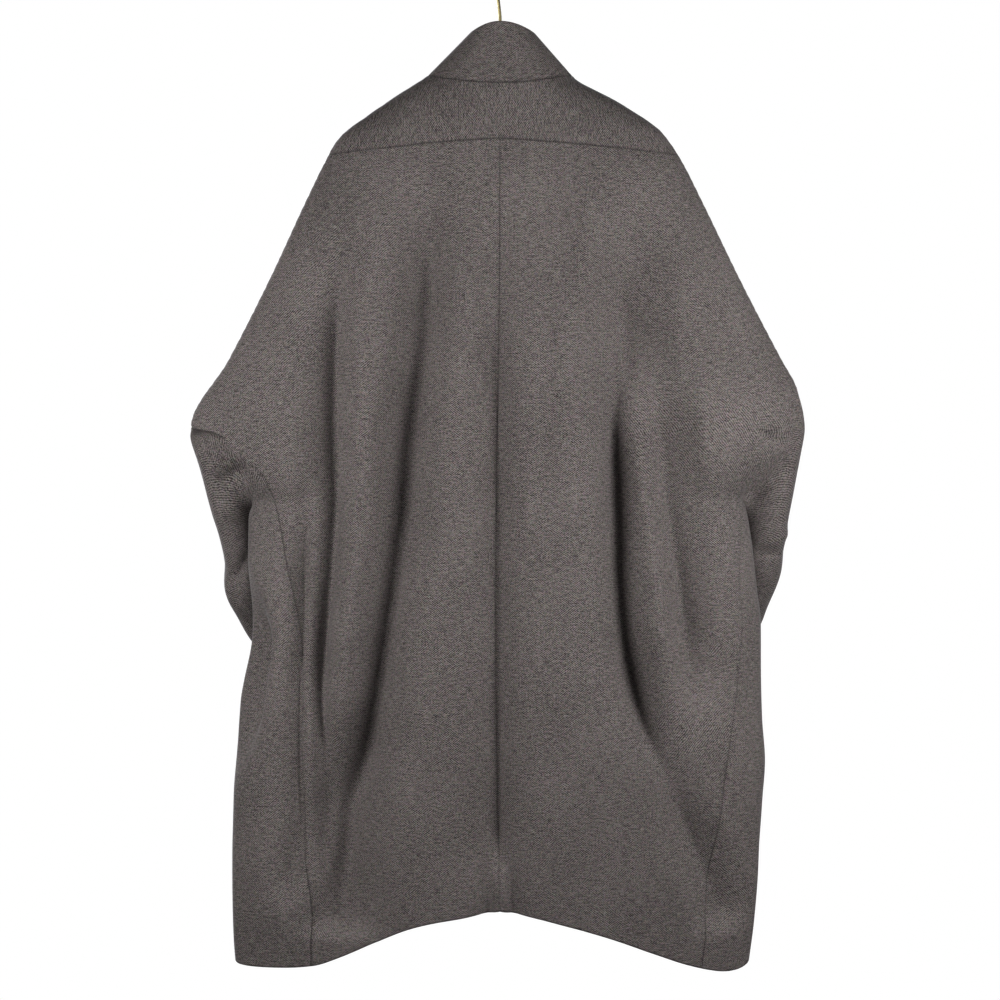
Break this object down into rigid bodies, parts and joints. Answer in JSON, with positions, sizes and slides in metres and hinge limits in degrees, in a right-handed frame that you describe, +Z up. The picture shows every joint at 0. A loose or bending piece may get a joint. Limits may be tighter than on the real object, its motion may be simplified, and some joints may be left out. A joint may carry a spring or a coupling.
{
  "type": "padded jacket on a coat hanger",
  "caption": "Cocoon-shaped padded wool jacket with stand collar, back yoke, dolman sleeves and front zip, hanging on a plain coat hanger with a wire hook.",
  "frame": {"origin": "where the rail bears on the inside of the hanger's hook", "axes": "+Z up, -Y towards the jacket's back, +Y towards its front zip, -X towards the wearer's left"},
  "size_m": [0.7813, 0.2885, 1.2827],
  "materials": {
    "wool": "soft warm grey wool twill with a slight nap",
    "tape": "plain woven tape",
    "zip_metal": "dull antique brass",
    "wood": "plain lacquered beech",
    "brass": "satin brass wire"
  },
  "bodies": {
    "jacket": {"collar": "wool", "back_yoke": "wool", "back_left": "wool", "back_right": "wool", "side_left": "wool", "side_right": "wool", "front_left": "wool", "front_right": "wool", "sleeve_left": "wool", "sleeve_right": "wool", "zip_tape_left": "tape", "zip_tape_right": "tape", "zip_chain": "zip_metal", "zip_slider": "zip_metal", "hanger_bar": "wood", "hanger_hook": "brass"},
    "pull": {"zip_pull": "zip_metal"}
  },
  "joints": [
    {"name": "pull_swing", "type": "hinge", "parent": "jacket", "child": "pull", "pos_m": [0, 0.09203, -0.16282], "axis": [1, 0, 0], "range_deg": [-24, 160]}
  ]
}
